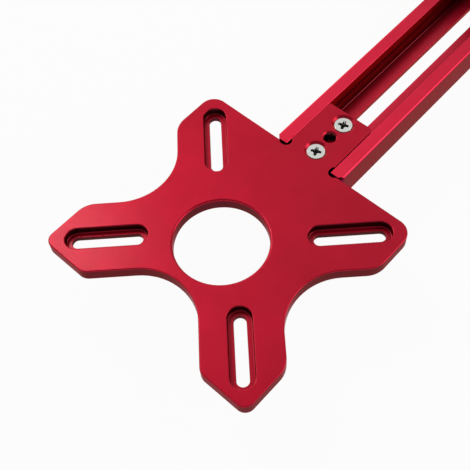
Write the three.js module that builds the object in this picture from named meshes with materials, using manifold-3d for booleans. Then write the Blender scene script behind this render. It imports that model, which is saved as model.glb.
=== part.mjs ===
// A router jig: a four-armed plate that is screwed to a router's base, with a slotted rail on its tongue
// and a carriage in the rail that carries a fence and a pivot pin.
// Millimetres, +Z up. The face that slides on the work looks up.
// The pieces are laid out from the cutter's axis (x = y = 0) and from the work face (z = 0), with the rail
// along +X. At the end one group moves them all, so that the origin is under the middle of the whole jig.

import * as THREE from 'three';
import { mergeVertices } from 'three/addons/utils/BufferGeometryUtils.js';
import Module from 'manifold-3d';

const wasm = await Module();
wasm.setup();

// Values shared by all pieces
const overrun = 1;               // how far a cutting tool runs past the face that it cuts
const slideClearance = 0.12;     // between pieces that slide on each other
const holeClearance = 0.25;      // on the radius, between a bolt and its plain hole
const threadClearance = 0.1;     // on the radius, between a screw and its threaded hole
const seatClearance = 0.1;       // between a countersunk head and its seat
const arcStep = Math.PI / 20;    // largest turn from one point of a round outline to the next

// Base plate
const plateThickness = 5;
const plateFar = 38;             // cutter's axis to the edge away from the rail
const plateNear = 44;            // cutter's axis to the edge that meets the rail
const plateWidth = 90;
const plateEdge = 0.4;           // chamfer round the plate
const cutterHoleRadius = 16;
const cutterHoleEdge = 0.8;
const waistRadius = 19.9;        // hollows between the arms
const farWaist = 19.9;           // cutter's axis to the bottom of the far hollow
const sideWaistDepth = 14;       // plate's side to the bottom of each side hollow
const sideShoulderRadius = 8.5;  // where an arm's flank meets the plate's side
const farShoulderRadius = 4.4;   // where an arm's flank meets the far edge
const farCornerRadius = 3.5;
const nearCornerRadius = 5.5;

// Stepped slots in the arms, for screws into the router's base
const slotInsetX = 14.5;         // plate's end to the middle of the slot
const slotInsetY = 14.9;         // plate's side to the middle of the slot
const slotTravel = 19.7;         // between the centres of the slot's round ends
const slotRadius = 2.05;
const slotStepRadius = 4;
const slotStepDepth = 3;
const slotEdge = 0.3;

// Tongue and its holes
const tongueLength = 24;
const tongueWidth = 19;
const tongueEndRadius = 1.5;
const reliefRadius = 2.2;        // round pockets at the roots of the tongue
const reliefBiteX = 1;           // how far a pocket bites into the plate's edge
const reliefBiteY = 0.8;         // how far it bites into the tongue's side
const firstScrewInset = 4.4;     // plate's edge to the first screw
const lastScrewInset = 4.5;      // tongue's end to the last screw
const pivotHoleRadius = 2.2;     // threaded hole half way between the screws
const pivotHolePitch = 0.9;
const pivotHoleThread = 0.35;    // depth of the thread's grooves

// Guide rail
const railLength = 200;
const railHeight = 12;
const railLip = 4.9;             // width of a lip
const railFloor = 2.3;
const railLedge = 0.6;           // step in each wall that the tongue lies on
const tongueFit = 0.25;          // tongue's side to the rail's wall
const railTopRadius = 0.8;
const railFootRadius = 0.6;
const railMouthRadius = 0.25;
const railEndGap = 0.2;          // plate's edge to the rail's end
const railEndChamfer = 1.6;      // on the outer corners at the plate
const railSlotClearance = 0.45;  // on the radius, between a clamp bolt and the slot
const railSlotStart = 2.2;       // tongue's end to the start of the slot
const railSlotEnd = 8;           // end of the slot to the rail's far end

// Countersunk screws of the tongue and of the fence, M4
const screwRadius = 1.95;
const screwHead = 3.2;
const screwSeat = 4.1;           // countersink's radius at the face
const screwRim = 0.15;           // straight part of the head
const screwTip = 0.5;
const screwCross = { span: 3.9, width: 1, depth: 1.5 };
const fenceScrewBite = 5;        // how deep a screw goes into the carriage

// Carriage in the rail
const carriageInset = 30.2;      // rail's far end to the carriage
const carriageLength = 58;
const carriageSink = 0.3;        // work face down to the carriage's top
const carriageEdge = 0.4;

// Clamp bolts, washers and knobs, M5
const boltRadius = 2.45;
const boltRunout = 1.5;          // blind hole beyond the bolt's end
const boltTip = 0.5;
const hexRadius = 4.6;           // across the corners, halved
const hexHeight = 3.5;
const hexClearance = 0.3;
const washerRadius = 5.5;
const washerThickness = 1;
const insertRadius = 4;
const insertLength = 8;
const knobRadius = 12.5;
const knobHeight = 13;
const knobGap = 3;               // between the two knobs
const knobLobes = 8;
const knobLobeDepth = 1.3;
const knobEdge = 1.4;
const knobHubRadius = 7;
const knobHubHeight = 1.5;
const knobDishRadius = 8;
const knobDishDepth = 0.8;

// Fence bar
const fenceLength = 120;
const fenceThickness = 10;
const fenceHeight = 15;
const fenceFloat = 0.3;          // work face to the bar's underside
const fenceEdge = 0.6;
const fenceEndRadius = 3;
const fenceScrewOffset = 5.5;
const facingHoleInset = 14;      // bar's end to the hole for a wooden facing
const facingHoleRadius = 2.2;
const facingSeatRadius = 4.2;

// Pivot pin and its washer, M6
const pinShankRadius = 2.9;
const pinRadius = 2.5;
const pinHeight = 9;             // how far the tip stands above the work face
const pinTip = 1.6;              // height of the pointed end
const pinPointRadius = 0.8;
const pinFlangeRadius = 4.6;
const pinFlangeHeight = 1.8;
const pinWasherRadius = 4.9;
const pinWasherThickness = 0.9;
const pinRecessRadius = 6.2;
const pinShankEnd = 0.6;         // shank's end to the carriage's underside

// End stop
const stopThickness = 3;
const stopEdge = 0.4;
const stopScrewRadius = 1.2;
const stopScrewHead = 2.1;
const stopScrewSeat = 2.25;
const stopScrewRim = 0.05;
const stopScrewTip = 0.3;
const stopScrewLength = 9;
const stopScrewCross = { span: 2.4, width: 0.7, depth: 0.9 };

// Finishes
const redAnodised = new THREE.MeshStandardMaterial({ color: 0xc62a42, roughness: 0.38, metalness: 0.75 });
const platedSteel = new THREE.MeshStandardMaterial({ color: 0xc9cbc8, roughness: 0.3, metalness: 0.9 });
const brass = new THREE.MeshStandardMaterial({ color: 0xb8934a, roughness: 0.35, metalness: 0.9 });
const blackNylon = new THREE.MeshStandardMaterial({ color: 0x1d1d1f, roughness: 0.55, metalness: 0 });

// Sizes and places that follow from the ones above
const plateMiddle = (plateNear - plateFar) / 2;
const plateSide = plateWidth / 2;
const sideWaist = plateSide - sideWaistDepth;
const slotOffsetX = (plateNear + plateFar) / 2 - slotInsetX;
const slotOffsetY = plateSide - slotInsetY;
const tongueEnd = plateNear + tongueLength;
const tongueHalf = tongueWidth / 2;
const tongueScrewX = [plateNear + firstScrewInset, tongueEnd - lastScrewInset];
const pivotHoleX = (tongueScrewX[0] + tongueScrewX[1]) / 2;
const channelHalf = tongueHalf + tongueFit;
const lowerChannelHalf = channelHalf - railLedge;
const railHalf = channelHalf + railLip;
const railStart = plateNear + railEndGap;
const railEnd = railStart + railLength;
const railFloorTop = railFloor - railHeight;
const railSlotRadius = boltRadius + railSlotClearance;
const railSlotFrom = tongueEnd + railSlotStart;
const railSlotTo = railEnd - railSlotEnd;
const screwHeadDepth = screwSeat - screwHead - screwRim - seatClearance;
const carriageEnd = railEnd - carriageInset;
const carriageStart = carriageEnd - carriageLength;
const carriageTop = -carriageSink;
const carriageFoot = railFloorTop + slideClearance;
const carriageShoulder = slideClearance - plateThickness;
const pinX = (carriageStart + fenceThickness + carriageEnd) / 2;
const boltX = [pinX - knobRadius - knobGap / 2, pinX + knobRadius + knobGap / 2];
const hexSeat = carriageTop - hexHeight - hexClearance;
const washerTop = -railHeight - slideClearance;
const washerFoot = washerTop - washerThickness;
const knobTop = washerFoot - slideClearance;
const knobShoulder = knobTop - knobHubHeight;
const knobFoot = knobShoulder - knobHeight;
const boltEnd = knobTop - insertLength;
const fenceX = carriageStart + fenceThickness / 2;
const fenceTop = fenceFloat + fenceHeight;
const pinRecess = carriageTop - pinFlangeHeight - pinWasherThickness - hexClearance;
const pinSeat = pinRecess + pinWasherThickness;
const stopEnd = railEnd + stopThickness;
const stopScrewX = stopEnd - (stopScrewSeat - stopScrewHead - stopScrewRim);
const stopScrewY = channelHalf + railLip / 2;

// From a three.js geometry to a solid that can be joined and cut, and back
function toSolid(geometry) {
  const bare = geometry.clone();
  bare.deleteAttribute('normal');
  bare.deleteAttribute('uv');
  const merged = mergeVertices(bare);
  const corners = merged.index.array;
  const kept = [];
  for (let i = 0; i < corners.length; i += 3) {
    const [a, b, c] = [corners[i], corners[i + 1], corners[i + 2]];
    if (a !== b && b !== c && c !== a) kept.push(a, b, c);
  }
  return new wasm.Manifold(new wasm.Mesh({
    numProp: 3,
    vertProperties: new Float32Array(merged.attributes.position.array),
    triVerts: new Uint32Array(kept),
  }));
}

function toGeometry(solid) {
  const { vertProperties, triVerts } = solid.getMesh();
  const geometry = new THREE.BufferGeometry();
  geometry.setAttribute('position', new THREE.BufferAttribute(new Float32Array(vertProperties), 3));
  geometry.setIndex(new THREE.BufferAttribute(new Uint32Array(triVerts), 1));
  const faceted = geometry.toNonIndexed();
  faceted.computeVertexNormals();
  return faceted;
}

function cut(geometry, tools) {
  return toGeometry(tools.reduce((solid, tool) => solid.subtract(toSolid(tool)), toSolid(geometry)));
}

function join(first, second) {
  return toGeometry(toSolid(first).add(toSolid(second)));
}

function trim(geometry, limit) {
  return toGeometry(toSolid(geometry).intersect(toSolid(limit)));
}

// An outline of straight runs, anticlockwise, each corner [x, y, radius] rounded by its radius.
// A hollow corner is rounded in the same way, so a waist is a corner with a large radius.
function roundedOutline(corners) {
  return corners.flatMap(([x, y, radius = 0], i) => {
    const corner = new THREE.Vector2(x, y);
    if (radius === 0) return [corner];
    const [beforeX, beforeY] = corners[(i + corners.length - 1) % corners.length];
    const [afterX, afterY] = corners[(i + 1) % corners.length];
    const toBefore = new THREE.Vector2(beforeX, beforeY).sub(corner).normalize();
    const toAfter = new THREE.Vector2(afterX, afterY).sub(corner).normalize();
    const halfAngle = Math.acos(toBefore.dot(toAfter)) / 2;
    const inward = toBefore.clone().add(toAfter).normalize();
    const centre = corner.clone().addScaledVector(inward, radius / Math.sin(halfAngle));
    const start = corner.clone().addScaledVector(toBefore, radius / Math.tan(halfAngle));
    const turn = (Math.PI - 2 * halfAngle) * Math.sign(toAfter.cross(toBefore));
    const steps = Math.max(2, Math.ceil(Math.abs(turn) / arcStep));
    return Array.from({ length: steps + 1 }, (_, step) => (
      start.clone().rotateAround(centre, (turn * step) / steps)
    ));
  });
}

// The second half of an outline that is the same on both sides of an axis
const acrossX = (corners) => corners.map(([x, y, radius]) => [x, -y, radius]).reverse();
const acrossY = (corners) => corners.map(([x, y, radius]) => [-x, y, radius]).reverse();

function circle(radius, segments = 32) {
  return Array.from({ length: segments }, (_, i) => (
    new THREE.Vector2(radius, 0).rotateAround(new THREE.Vector2(), (2 * Math.PI * i) / segments)
  ));
}

// Two half circles and the straight runs between them
function stadium(travel, radius, angle = 0, steps = 10) {
  return [0, Math.PI].flatMap((end) => Array.from({ length: steps + 1 }, (_, step) => {
    const along = end + Math.PI * (step / steps - 1 / 2);
    const x = Math.cos(end) * travel / 2 + radius * Math.cos(along);
    return new THREE.Vector2(x, radius * Math.sin(along)).rotateAround(new THREE.Vector2(), angle);
  }));
}

// The outline of a cross-head recess
function cross({ span, width }) {
  const [far, near] = [span / 2, width / 2];
  return [0, 1, 2, 3].flatMap((quarter) => [[far, -near], [far, near], [near, near]].map(([x, y]) => (
    new THREE.Vector2(x, y).rotateAround(new THREE.Vector2(), (quarter * Math.PI) / 2)
  )));
}

// A straight prism on an outline, with both rims chamfered by edge
function prism(outline, low, high, edge = 0) {
  const geometry = new THREE.ExtrudeGeometry(new THREE.Shape(outline), {
    depth: high - low - 2 * edge,
    bevelEnabled: edge > 0,
    bevelThickness: edge,
    bevelSize: edge,
    bevelOffset: -edge,
    bevelSegments: 1,
  });
  return geometry.translate(0, 0, low + edge);
}

const disc = (radius, low, high, segments) => prism(circle(radius, segments), low, high);

// A prism whose section changes evenly from one outline to another with as many points
function flare(lowOutline, low, highOutline, high) {
  const count = lowOutline.length;
  const position = [
    ...lowOutline.flatMap(({ x, y }) => [x, y, low]),
    ...highOutline.flatMap(({ x, y }) => [x, y, high]),
  ];
  const caps = THREE.ShapeUtils.triangulateShape(lowOutline, []);
  const walls = lowOutline.flatMap((_, i) => {
    const next = (i + 1) % count;
    return [i, next, count + next, i, count + next, count + i];
  });
  const geometry = new THREE.BufferGeometry();
  geometry.setAttribute('position', new THREE.Float32BufferAttribute(position, 3));
  geometry.setIndex([
    ...caps.flatMap(([a, b, c]) => [c, b, a]),
    ...caps.flatMap(([a, b, c]) => [count + a, count + b, count + c]),
    ...walls,
  ]);
  return geometry;
}

// A cone at 45 degrees that opens a hole of one radius to a wider one at a face, looking up
const countersink = (holeRadius, faceRadius, face) => flare(
  circle(holeRadius), face - (faceRadius - holeRadius),
  circle(faceRadius + overrun), face + overrun,
);

// A solid of revolution about Z, its profile [radius, z] running up from the axis to the axis
function turned(profile, segments = 32) {
  const points = profile.map(([radius, z]) => new THREE.Vector2(radius, z));
  return new THREE.LatheGeometry(points, segments).rotateX(Math.PI / 2);
}

// Turns a shape that stands along Z so that it lies along X, with its outline's x along Y and its y up
const alongX = (geometry) => geometry.applyMatrix4(new THREE.Matrix4().makeBasis(
  new THREE.Vector3(0, 1, 0),
  new THREE.Vector3(0, 0, 1),
  new THREE.Vector3(1, 0, 0),
));

// A countersunk cross-head screw that points down from z = 0
function countersunkScrew({ radius, head, rim, length, tip, recess }) {
  const body = turned([
    [0, -length],
    [radius - tip, -length],
    [radius, tip - length],
    [radius, radius - head - rim],
    [head, -rim],
    [head, 0],
    [0, 0],
  ], 24);
  const bottom = cross({ span: recess.span / 2, width: recess.width / 2 });
  const tool = flare(bottom, -recess.depth, cross(recess), 0);
  const mouth = prism(cross(recess), 0, overrun);
  return cut(body, [join(tool, mouth)]);
}

function basePlate() {
  const waistReach = waistRadius * (Math.SQRT2 - 1);
  const sideMeet = sideWaist - waistReach;
  const farMeet = farWaist - waistReach;
  const half = [
    [tongueEnd, tongueHalf, tongueEndRadius],
    [plateNear, tongueHalf],
    [plateNear, plateSide, nearCornerRadius],
    [plateMiddle + plateSide - sideMeet, plateSide, sideShoulderRadius],
    [plateMiddle, sideMeet, waistRadius],
    [plateMiddle - plateSide + sideMeet, plateSide, sideShoulderRadius],
    [-plateFar, plateSide, farCornerRadius],
    [-plateFar, plateFar - farMeet, farShoulderRadius],
  ];
  const outline = roundedOutline([...half, [-farMeet, 0, waistRadius], ...acrossX(half)]);
  const under = -plateThickness;
  const edgeRing = cutterHoleRadius + cutterHoleEdge;
  const hole = circle(cutterHoleRadius, 64);
  const wideHole = circle(edgeRing + overrun, 64);
  const tools = [
    prism(hole, under - overrun, overrun),
    flare(hole, -cutterHoleEdge, wideHole, overrun),
    flare(wideHole, under - overrun, hole, under + cutterHoleEdge),
  ];
  for (const side of [1, -1]) {
    const pocketX = plateNear - reliefBiteX + reliefRadius;
    const pocketY = tongueHalf - reliefBiteY + reliefRadius;
    tools.push(disc(reliefRadius, under - overrun, overrun, 24).translate(pocketX, side * pocketY, 0));
    for (const end of [1, -1]) {
      const angle = side * end * Math.PI / 4;
      const step = stadium(slotTravel, slotStepRadius, angle);
      const wideStep = stadium(slotTravel, slotStepRadius + slotEdge + overrun, angle);
      const x = plateMiddle + end * slotOffsetX;
      const y = side * slotOffsetY;
      tools.push(
        prism(stadium(slotTravel, slotRadius, angle), under - overrun, overrun).translate(x, y, 0),
        prism(step, -slotStepDepth, overrun).translate(x, y, 0),
        flare(step, -slotEdge, wideStep, overrun).translate(x, y, 0),
      );
    }
  }
  for (const x of tongueScrewX) {
    const holeRadius = screwRadius + holeClearance;
    tools.push(
      disc(holeRadius, under - overrun, overrun).translate(x, 0, 0),
      countersink(holeRadius, screwSeat, 0).translate(x, 0, 0),
    );
  }
  tools.push(threadedHole().translate(pivotHoleX, 0, 0));
  return cut(prism(outline, under, 0, plateEdge), tools);
}

// The tool that cuts the threaded hole in the tongue: its grooves, and a cone at its mouth
function threadedHole() {
  const turns = Math.floor(plateThickness / pivotHolePitch);
  const grooves = Array.from({ length: turns }, (_, i) => {
    const z = i * pivotHolePitch - plateThickness;
    return [
      [pivotHoleRadius, z],
      [pivotHoleRadius + pivotHoleThread, z + pivotHolePitch / 2],
    ];
  }).flat();
  const mouth = pivotHoleRadius + pivotHoleThread;
  return turned([
    [0, -plateThickness - overrun],
    [pivotHoleRadius, -plateThickness - overrun],
    ...grooves,
    [pivotHoleRadius, -pivotHoleThread],
    [mouth + overrun, overrun],
    [0, overrun],
  ], 24);
}

function guideRail() {
  const half = [
    [railHalf, -railHeight, railFootRadius],
    [railHalf, 0, railTopRadius],
    [channelHalf, 0, railMouthRadius],
    [channelHalf, -plateThickness],
    [lowerChannelHalf, -plateThickness],
    [lowerChannelHalf, railFloorTop],
  ];
  const section = roundedOutline([...half, ...acrossY(half)]);
  const planHalf = [
    [railEnd + overrun, railHalf + overrun],
    [railStart + railEndChamfer + overrun, railHalf + overrun],
    [railStart, railHalf - railEndChamfer],
  ];
  const plan = roundedOutline([...planHalf, ...acrossX(planHalf)]);
  const bar = alongX(prism(section, railStart, railEnd));
  const body = trim(bar, prism(plan, -railHeight - overrun, overrun));
  const slotMiddle = (railSlotFrom + railSlotTo) / 2;
  const slotOutline = stadium(railSlotTo - railSlotFrom - 2 * railSlotRadius, railSlotRadius);
  const slot = prism(slotOutline, -railHeight - overrun, 0);
  const screwHoles = tongueScrewX.map((x) => (
    disc(screwRadius + threadClearance, -railHeight - overrun, 0, 24).translate(x, 0, 0)
  ));
  const endHoles = [1, -1].map((side) => (
    alongX(disc(stopScrewRadius + threadClearance, railEnd - stopScrewLength, railEnd + overrun, 16))
      .translate(0, side * stopScrewY, -railHeight / 2)
  ));
  return cut(body, [slot.translate(slotMiddle, 0, 0), ...screwHoles, ...endHoles]);
}

function carriage() {
  const upperHalf = channelHalf - slideClearance;
  const lowerHalf = lowerChannelHalf - slideClearance;
  const half = [
    [lowerHalf, carriageFoot],
    [lowerHalf, carriageShoulder],
    [upperHalf, carriageShoulder],
    [upperHalf, carriageTop],
  ];
  const section = roundedOutline([...half, ...acrossY(half)]);
  const body = alongX(prism(section, carriageStart, carriageEnd, carriageEdge));
  const bolts = boltX.flatMap((x) => [
    disc(boltRadius + holeClearance, carriageFoot - overrun, overrun).translate(x, 0, 0),
    disc(hexRadius + hexClearance, hexSeat, overrun, 6).translate(x, 0, 0),
  ]);
  const pin = [
    disc(pinShankRadius + threadClearance, carriageFoot - overrun, overrun).translate(pinX, 0, 0),
    disc(pinRecessRadius, pinRecess, overrun).translate(pinX, 0, 0),
  ];
  const fenceHoles = [1, -1].map((side) => (
    disc(screwRadius + threadClearance, carriageTop - fenceScrewBite - screwTip, overrun, 24)
      .translate(fenceX, side * fenceScrewOffset, 0)
  ));
  return cut(body, [...bolts, ...pin, ...fenceHoles]);
}

function clampBolt() {
  const head = disc(hexRadius, hexSeat, hexSeat + hexHeight, 6);
  const shank = turned([
    [0, boltEnd],
    [boltRadius - boltTip, boltEnd],
    [boltRadius, boltEnd + boltTip],
    [boltRadius, hexSeat + hexHeight / 2],
    [0, hexSeat + hexHeight / 2],
  ], 24);
  return join(head, shank);
}

function washer() {
  const bore = disc(boltRadius + holeClearance, washerFoot - overrun, washerTop + overrun);
  return cut(disc(washerRadius, washerFoot, washerTop), [bore]);
}

function knobInsert() {
  const bore = disc(boltRadius + threadClearance, boltEnd - overrun, knobTop + overrun, 24);
  return cut(disc(insertRadius, boltEnd, knobTop), [bore]);
}

function clampKnob() {
  const pointsPerLobe = 10;
  const outline = circle(knobRadius, knobLobes * pointsPerLobe).map((point, i) => {
    const wave = (1 - Math.cos((2 * Math.PI * i) / pointsPerLobe)) / 2;
    return point.multiplyScalar(1 - (knobLobeDepth / knobRadius) * wave);
  });
  const head = prism(outline, knobFoot, knobShoulder, knobEdge);
  const hub = disc(knobHubRadius, knobShoulder - knobEdge, knobTop);
  const dish = flare(
    circle(knobDishRadius + overrun), knobFoot - overrun,
    circle(knobDishRadius - knobDishDepth), knobFoot + knobDishDepth,
  );
  return cut(join(head, hub), [
    disc(insertRadius + threadClearance, boltEnd - threadClearance, knobTop + overrun),
    disc(boltRadius + holeClearance, boltEnd - boltRunout, knobTop + overrun),
    dish,
  ]);
}

function fenceBar() {
  const side = fenceLength / 2;
  const half = [
    [carriageStart + fenceThickness, side, fenceEndRadius],
    [carriageStart, side, fenceEndRadius],
  ];
  const outline = roundedOutline([...half, ...acrossX(half)]);
  const bar = prism(outline, fenceFloat, fenceTop, fenceEdge);
  const tenonSide = channelHalf - 2 * slideClearance;
  const tenonHalf = [
    [carriageStart + fenceThickness - fenceEdge, tenonSide],
    [carriageStart + fenceEdge, tenonSide],
  ];
  const tenon = prism(roundedOutline([...tenonHalf, ...acrossX(tenonHalf)]), carriageTop, fenceTop / 2);
  const holeRadius = screwRadius + holeClearance;
  const screwTools = [1, -1].flatMap((end) => [
    disc(holeRadius, carriageTop - overrun, fenceTop + overrun),
    countersink(holeRadius, screwSeat, fenceTop),
  ].map((tool) => tool.translate(fenceX, end * fenceScrewOffset, 0)));
  const back = carriageStart + fenceThickness;
  const facingTools = [1, -1].flatMap((end) => [
    alongX(disc(facingHoleRadius, carriageStart - overrun, back + overrun)),
    alongX(countersink(facingHoleRadius, facingSeatRadius, back)),
  ].map((tool) => tool.translate(0, end * (side - facingHoleInset), fenceFloat + fenceHeight / 2)));
  return cut(join(bar, tenon), [...screwTools, ...facingTools]);
}

function pivotPin() {
  const shankEnd = carriageFoot + pinShankEnd;
  return turned([
    [0, shankEnd],
    [pinShankRadius - boltTip, shankEnd],
    [pinShankRadius, shankEnd + boltTip],
    [pinShankRadius, pinSeat],
    [pinFlangeRadius, pinSeat],
    [pinFlangeRadius, pinSeat + pinFlangeHeight],
    [pinRadius, pinSeat + pinFlangeHeight],
    [pinRadius, pinHeight - pinTip],
    [pinPointRadius, pinHeight],
    [0, pinHeight],
  ]);
}

function pivotWasher() {
  const bore = disc(pinShankRadius + holeClearance, pinRecess - overrun, pinSeat + overrun);
  return cut(disc(pinWasherRadius, pinRecess, pinSeat), [bore]);
}

function endStop() {
  const half = [
    [railHalf, -railHeight, railFootRadius],
    [railHalf, 0, railTopRadius],
  ];
  const section = roundedOutline([...half, ...acrossY(half)]);
  const tools = [1, -1].flatMap((side) => [
    alongX(disc(stopScrewRadius + threadClearance, railEnd - overrun, stopEnd + overrun, 16)),
    alongX(countersink(stopScrewRadius + threadClearance, stopScrewSeat + seatClearance, stopEnd)),
  ].map((tool) => tool.translate(0, side * stopScrewY, -railHeight / 2)));
  return cut(alongX(prism(section, railEnd, stopEnd, stopEdge)), tools);
}

// The whole jig
const jig = new THREE.Group();

function add(name, geometry, material, x = 0, y = 0, z = 0) {
  const mesh = new THREE.Mesh(geometry, material);
  mesh.name = name;
  mesh.position.set(x, y, z);
  jig.add(mesh);
  return mesh;
}

const railScrewTop = -screwHeadDepth;
const railScrew = countersunkScrew({
  radius: screwRadius,
  head: screwHead,
  rim: screwRim,
  length: railHeight + railScrewTop,
  tip: screwTip,
  recess: screwCross,
});
const fenceScrewTop = fenceTop - screwHeadDepth;
const fenceScrew = countersunkScrew({
  radius: screwRadius,
  head: screwHead,
  rim: screwRim,
  length: fenceScrewTop - carriageTop + fenceScrewBite,
  tip: screwTip,
  recess: screwCross,
});
const stopScrew = countersunkScrew({
  radius: stopScrewRadius,
  head: stopScrewHead,
  rim: stopScrewRim,
  length: stopScrewLength,
  tip: stopScrewTip,
  recess: stopScrewCross,
}).rotateY(Math.PI / 2);

add('base_plate', basePlate(), redAnodised);
add('guide_rail', guideRail(), redAnodised);
add('carriage', carriage(), redAnodised);
add('fence_bar', fenceBar(), redAnodised);
add('pivot_washer', pivotWasher(), platedSteel, pinX);
add('pivot_pin', pivotPin(), platedSteel, pinX);
add('end_stop', endStop(), blackNylon);
[1, 2].forEach((number, i) => {
  const side = i === 0 ? 1 : -1;
  add(`rail_screw_${number}`, railScrew, platedSteel, tongueScrewX[i], 0, railScrewTop);
  add(`clamp_bolt_${number}`, clampBolt(), platedSteel, boltX[i]);
  add(`clamp_washer_${number}`, washer(), platedSteel, boltX[i]);
  add(`knob_insert_${number}`, knobInsert(), brass, boltX[i]);
  add(`clamp_knob_${number}`, clampKnob(), blackNylon, boltX[i]);
  add(`fence_screw_${number}`, fenceScrew, platedSteel, fenceX, side * fenceScrewOffset, fenceScrewTop);
  add(`end_screw_${number}`, stopScrew, platedSteel, stopScrewX, side * stopScrewY, -railHeight / 2);
});

// The origin goes under the middle of the jig, at the height of the knobs' outer faces
jig.position.set((plateFar - stopEnd) / 2, 0, -knobFoot);

const scene = new THREE.Group();
scene.add(jig);
export default scene;
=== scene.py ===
# %% [markdown]
# # A router jig in red anodised aluminium
# The jig is a four-armed plate that screws to a router's base, a slotted rail on its tongue, and a carriage
# in the rail that holds a fence and a pivot pin. Its sizes are settled in a plain model of flat facets. This
# lesson loads that model, which stays where it is, and makes each piece again with round edges, true curves
# and the finish of the real thing.

# %% Load the plain model
import math

import bmesh
import bpy
from mathutils import Matrix, Vector


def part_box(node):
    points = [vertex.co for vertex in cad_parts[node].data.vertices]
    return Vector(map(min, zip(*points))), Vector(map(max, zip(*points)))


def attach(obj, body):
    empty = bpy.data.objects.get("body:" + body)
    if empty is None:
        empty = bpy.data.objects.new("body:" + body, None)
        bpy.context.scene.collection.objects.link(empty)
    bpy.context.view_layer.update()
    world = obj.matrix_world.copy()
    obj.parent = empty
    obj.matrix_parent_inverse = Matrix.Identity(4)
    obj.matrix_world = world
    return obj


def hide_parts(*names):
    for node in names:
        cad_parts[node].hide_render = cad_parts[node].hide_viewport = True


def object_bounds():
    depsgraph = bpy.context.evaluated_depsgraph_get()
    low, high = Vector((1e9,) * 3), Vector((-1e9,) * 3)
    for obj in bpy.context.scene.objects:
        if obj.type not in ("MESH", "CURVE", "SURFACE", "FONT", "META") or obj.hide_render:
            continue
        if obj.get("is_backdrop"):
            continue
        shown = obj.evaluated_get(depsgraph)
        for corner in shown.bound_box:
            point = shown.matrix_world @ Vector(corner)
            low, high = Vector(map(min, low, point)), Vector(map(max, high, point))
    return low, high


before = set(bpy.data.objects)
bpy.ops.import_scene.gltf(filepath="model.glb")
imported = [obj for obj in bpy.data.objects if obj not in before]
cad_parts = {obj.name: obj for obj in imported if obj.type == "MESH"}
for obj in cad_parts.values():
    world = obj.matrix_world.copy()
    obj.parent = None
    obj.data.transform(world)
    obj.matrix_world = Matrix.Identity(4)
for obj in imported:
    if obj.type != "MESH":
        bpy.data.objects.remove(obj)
scene = bpy.context.scene
cad_box = [list(corner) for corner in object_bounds()]
print("plain pieces:", len(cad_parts))

# %% [markdown]
# ## Where things are
# All shapes are drawn in millimetres from the cutter's axis, with z = 0 on the work face. The plate's far
# edge and its top face, taken from the plain model, tie this drawing to the frame in metres.

# %% Places in the drawing
MM = 0.001
PLATE_FAR = 38
plate_low, plate_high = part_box("base_plate")
drawing_origin = Vector((plate_low.x + PLATE_FAR * MM, 0, plate_high.z))
TO_FRAME = Matrix.Translation(drawing_origin) @ Matrix.Scale(MM, 4)


def drawing_box(node):
    """A plain piece's lowest and highest corner, in the drawing's millimetres."""
    return [(corner - drawing_origin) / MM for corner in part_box(node)]


PLATE_LOW, PLATE_HIGH = drawing_box("base_plate")
RAIL_LOW, RAIL_HIGH = drawing_box("guide_rail")
FLOOR_Z = cad_box[0][2]
print("work face above the floor, mm:", round((drawing_origin.z - FLOOR_Z) / MM, 2))

# %% [markdown]
# ## The camera
# The photograph was taken from above the plate's far left corner. Its lens, distance and angles were worked
# out from the plate's known sizes. The camera first looks along +Y, is turned to its heading, tipped down,
# and last rolled about its own axis.

# %% Camera
def new_object(name, data):
    """A new object in the scene."""
    made = bpy.data.objects.new(name, data)
    scene.collection.objects.link(made)
    return made


LENS_MM = 66.7
SENSOR_MM = 36
AIM = Vector((4.65, -1.90, 0))
DISTANCE = 285.15
HEADING_DEG = 42.68
ELEVATION_DEG = 58.30
ROLL_DEG = -5.77

camera_data = bpy.data.cameras.new("photo_camera")
camera_data.lens = LENS_MM
camera_data.sensor_width = SENSOR_MM
camera_data.clip_start = 0.01
camera = new_object("photo_camera", camera_data)
turn = (
    Matrix.Rotation(math.radians(-HEADING_DEG), 4, "Z")
    @ Matrix.Rotation(math.radians(90 - ELEVATION_DEG), 4, "X")
    @ Matrix.Rotation(math.radians(ROLL_DEG), 4, "Z")
)
back = turn.to_3x3() @ Vector((0, 0, 1))
camera.matrix_world = Matrix.Translation(TO_FRAME @ (AIM + back * DISTANCE)) @ turn
scene.camera = camera
scene.view_settings.view_transform = "Standard"
print("camera at, mm:", [round(value / MM, 1) for value in camera.matrix_world.translation])

# %% [markdown]
# ## Helpers for node trees
# A finish is a small tree of nodes, and so is a shape that follows a rule. One helper adds a node, two more
# use it for sums and ranges, and the last one turns a written colour into Blender's linear values.

# %% Nodes and colours
def add_node(tree, kind, inputs=None, **settings):
    """Adds a node, sets its settings, and gives each named input a value or a link."""
    node = tree.nodes.new(kind)
    for name, value in settings.items():
        setattr(node, name, value)
    for name, value in (inputs or {}).items():
        if isinstance(value, bpy.types.NodeSocket):
            tree.links.new(value, node.inputs[name])
        else:
            node.inputs[name].default_value = value
    return node


def maths(tree, operation, *values):
    """One sum of a node tree."""
    sum_node = add_node(tree, "ShaderNodeMath", dict(enumerate(values)), operation=operation)
    return sum_node.outputs["Value"]


def ranged(tree, value, start, end, low=0, high=1):
    """A value between start and end, brought between low and high."""
    inputs = {"Value": value, "From Min": start, "From Max": end, "To Min": low, "To Max": high}
    return add_node(tree, "ShaderNodeMapRange", inputs).outputs["Result"]


def colour(hex_text):
    """An sRGB colour such as #C8273F as linear red, green, blue and alpha."""
    parts = [int(hex_text[i:i + 2], 16) / 255 for i in (1, 3, 5)]
    return [p / 12.92 if p <= 0.04045 else ((p + 0.055) / 1.055) ** 2.4 for p in parts] + [1]


# %% [markdown]
# ## Patterns in a finish
# No real surface is one flat colour. Blasted metal has tiny pits, an extrusion keeps faint lines from its
# die, and a dye takes a little unevenly. Each is noise measured in millimetres on the piece itself, so it
# keeps its scale and stays put when a piece moves.

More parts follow.
